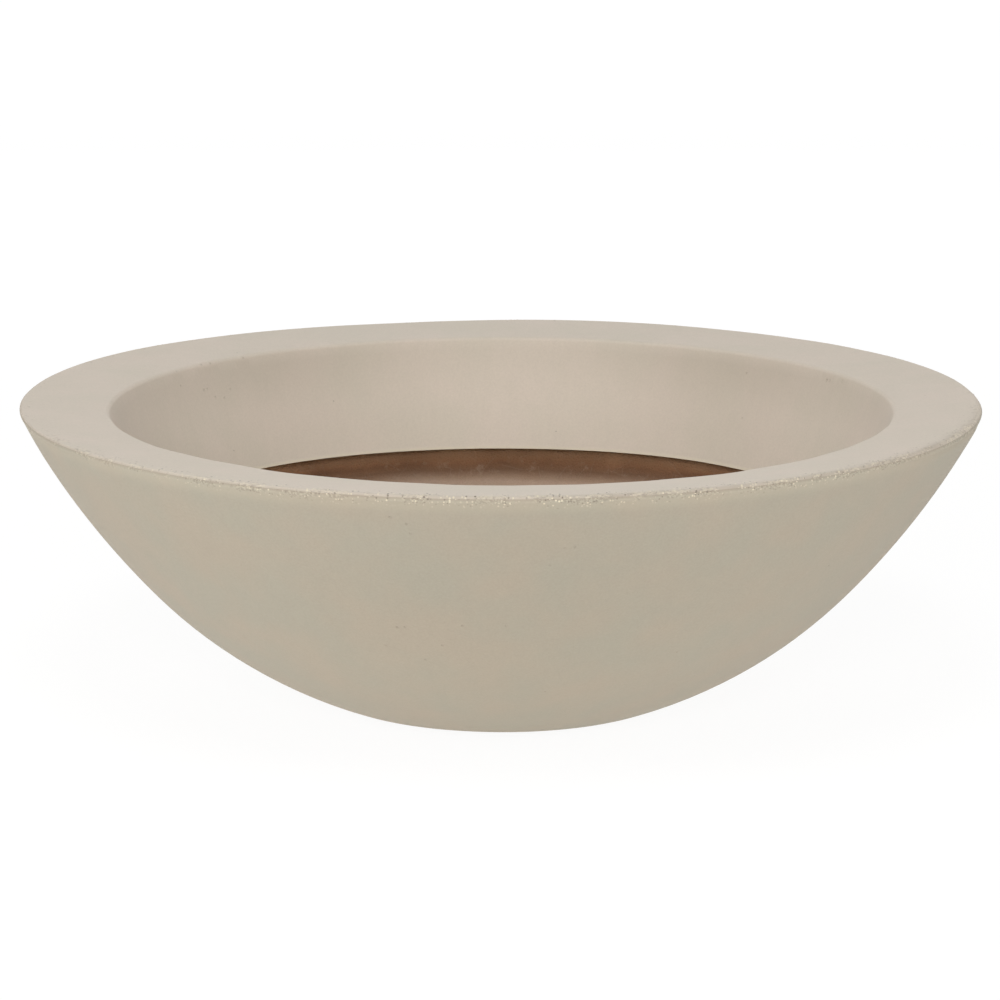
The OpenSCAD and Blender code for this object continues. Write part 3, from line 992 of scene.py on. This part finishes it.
def makePlug():
    seat = inside + sleeve["thick"]
    under = seat + plug["seat"]
    over = under + plug["headThick"]

    def stem(z):
        return plug["footRadius"] + (plug["topRadius"] - plug["footRadius"]) * (z - base) / (seat - base)

    corners = [(0, base + plug["foot"], 0), (stem(base + plug["foot"]), base + plug["foot"], 0.7)]
    for rise in plug["lips"]:
        low, wide = base + rise, plug["lipWide"]
        corners += [(stem(low), low, 0), (stem(low) + plug["lipProud"], low + wide / 2, 0.4),
                    (stem(low + wide), low + wide, 0)]
    corners += [(stem(under), under, 0.5), (plug["head"], under, 0.5), (plug["head"], over, 1.2),
                (plug["domeRadius"], over + plug["dome"], 4), (0, over + plug["dome"], 0)]
    bm = turnPart(softened(corners), False)
    joinTo(bm, makeTab(over, over + plug["dome"] + plug["tabHigh"] - plug["tabWide"] / 2))
    build("drain_stopper", bm, ["drain_plug"], plugRubber, 40, "plug")


makePlug()

# Pads stamped from ribbed rubber sheet
pads = {"count": 4, "inset": 15, "radius": 24, "high": 3, "chamfer": 0.8, "grooves": (7, 12, 17),
        "grooveWide": 1.8, "grooveDeep": 0.7, "grooveSlope": 0.2}


def makePads():
    bm = bmesh.new()
    ring = heelCentre.x - pads["inset"] - pads["radius"]
    corners = [(0, 0, 0)]
    for r in pads["grooves"]:
        deep, half = pads["grooveDeep"], pads["grooveWide"] / 2
        flat = half - pads["grooveSlope"]
        corners += [(r - half, 0, 0.15), (r - flat, deep, 0.15), (r + flat, deep, 0.15), (r + half, 0, 0.15)]
    corners += [(pads["radius"] - pads["chamfer"], 0, 0.3), (pads["radius"], pads["chamfer"], 0.3),
                (pads["radius"], pads["high"], 0.25), (0, pads["high"], 0)]
    for k in range(pads["count"]):
        pad = turnPart(softened(corners, 3), False, 64)
        turn = 2 * pi * (k + 0.5) / pads["count"]
        outwards = Vector((cos(turn), sin(turn), 0))
        bmesh.ops.translate(pad, verts=pad.verts, vec=outwards * ring * mm)
        joinTo(bm, pad)
    build("rubber_pads", bm, ["foot_pads"], padRubber, 40)


makePads()

# Floor, light and camera, in metres and watts
studio = {
    "floorSize": 60, "floorColour": "e8e7e5",
    "floorSeenWhite": 0.86, "floorSeenGlow": (1.04, 1.12),   # near the bowl and far from it
    "floorGlow": (0.47, 0.14),                               # its own light under the bowl and away from it
    "underBase": (0.04, 0.1), "underBowl": (0.2, 0.52), "farAway": (1.5, 6),   # from the middle
    "skyColour": "ffffff", "sky": 0.37,
    "lamps": {               # place, width, power
        "front": ((-0.2, -3.4, 1.3), 1, 44),
        "overhead": ((-0.2, -1.7, 3), 1.2, 27),
        "left": ((-3, -1, 0.9), 2, 31),
        "right": ((3, -1, 0.9), 2, 24.2),
        "behind": ((0, 3.2, 1.6), 2, 24),
    },
    "lampsAim": (0, 0, 0.15),
}


def raysFromCamera(tree):  # seen: rays straight or mirrored from it; through: these and through glass
    rays = add(tree, "LightPath")
    seen = add(tree, "Math", {0: rays.outputs["Is Camera Ray"], 1: rays.outputs["Is Glossy Ray"]},
               operation="MAXIMUM")
    through = add(tree, "Math", {0: seen, 1: rays.outputs["Is Transmission Ray"]}, operation="MAXIMUM")
    return rays, seen, through


def makeFloor():
    bm = bmesh.new()
    bmesh.ops.create_grid(bm, x_segments=2, y_segments=2, size=studio["floorSize"] / 2)
    floor = putInScene("floor", meshFrom(bm, "floor"))
    material, tree, place = newMaterial("paleStudioFloor")
    rays, seen, through = raysFromCamera(tree)
    away = add(tree, "VectorMath", {0: place}, operation="LENGTH").outputs["Value"]
    shaded, bare = studio["underBase"]
    shown = add(tree, "MapRange", {0: away, 1: shaded, 2: bare, 3: 0, 4: studio["floorSeenWhite"]})
    white = add(tree, "Math", {0: through, 1: shown}, operation="MULTIPLY")
    matt = add(tree, "BsdfDiffuse", {"Color": linear(studio["floorColour"])})
    (near, end), (bowlGlow, plain) = studio["underBowl"], studio["floorGlow"]
    pool = add(tree, "MapRange", {0: away, 1: near, 2: end, 3: bowlGlow - plain, 4: 0})
    unseen = add(tree, "Math", {0: 1, 1: seen}, operation="SUBTRACT")
    strength = add(tree, "Math", {0: pool, 1: unseen, 2: plain}, operation="MULTIPLY_ADD")
    lit = add(tree, "Emission", {"Color": (1, 1, 1, 1), "Strength": strength})
    both = add(tree, "AddShader", {0: matt, 1: lit})
    (close, distant), (nearGlow, farGlow) = studio["farAway"], studio["floorSeenGlow"]
    seenGlow = add(tree, "MapRange", {0: away, 1: close, 2: distant, 3: nearGlow, 4: farGlow})
    glow = add(tree, "Emission", {"Color": (1, 1, 1, 1), "Strength": seenGlow})
    mixed = add(tree, "MixShader", {0: white, 1: both, 2: glow})
    clear = add(tree, "BsdfTransparent")
    under = add(tree, "NewGeometry").outputs["Backfacing"]
    below = add(tree, "Math", {0: under, 1: rays.outputs["Is Camera Ray"]}, operation="MULTIPLY")
    sided = add(tree, "MixShader", {0: below, 1: mixed, 2: clear})
    add(tree, "OutputMaterial", {"Surface": sided})
    floor.data.materials.append(material)


def makeSky():
    world = bpy.data.worlds.new("studio")
    bpy.context.scene.world = world
    world.use_nodes = True
    tree = world.node_tree
    tree.nodes.clear()
    rays, seen, through = raysFromCamera(tree)
    dome = add(tree, "Background", {"Color": linear(studio["skyColour"]), "Strength": studio["sky"]})
    white = add(tree, "Background", {"Color": (1, 1, 1, 1), "Strength": 1})
    mixed = add(tree, "MixShader", {0: through, 1: dome, 2: white})
    add(tree, "OutputWorld", {"Surface": mixed})


def makeLamp(name, place, size, power):
    lamp = bpy.data.lights.new(name, "AREA")
    lamp.shape = "DISK"
    lamp.size = size
    lamp.energy = power
    holder = putInScene(name, lamp)
    holder.location = place
    holder.rotation_euler = (Vector(studio["lampsAim"]) - Vector(place)).to_track_quat("-Z", "Y").to_euler()


view = {"distance": 3, "aside": -0.0013, "height": cornerZ * mm + 0.5626, "pitch": 12.258, "lens": 131.28}


def makeCamera():
    camera = bpy.data.cameras.new("camera")
    camera.sensor_fit = "HORIZONTAL"
    camera.sensor_width = 36
    camera.lens = view["lens"]
    holder = putInScene("camera", camera)
    holder.location = (view["aside"], -view["distance"], view["height"])
    holder.rotation_euler = (radians(90 - view["pitch"]), 0, 0)
    bpy.context.scene.camera = holder


makeFloor()
makeSky()
for name, (place, size, power) in studio["lamps"].items():
    makeLamp(name, place, size, power)
makeCamera()
bpy.context.scene.view_settings.view_transform = "Standard"
print("studio ready")
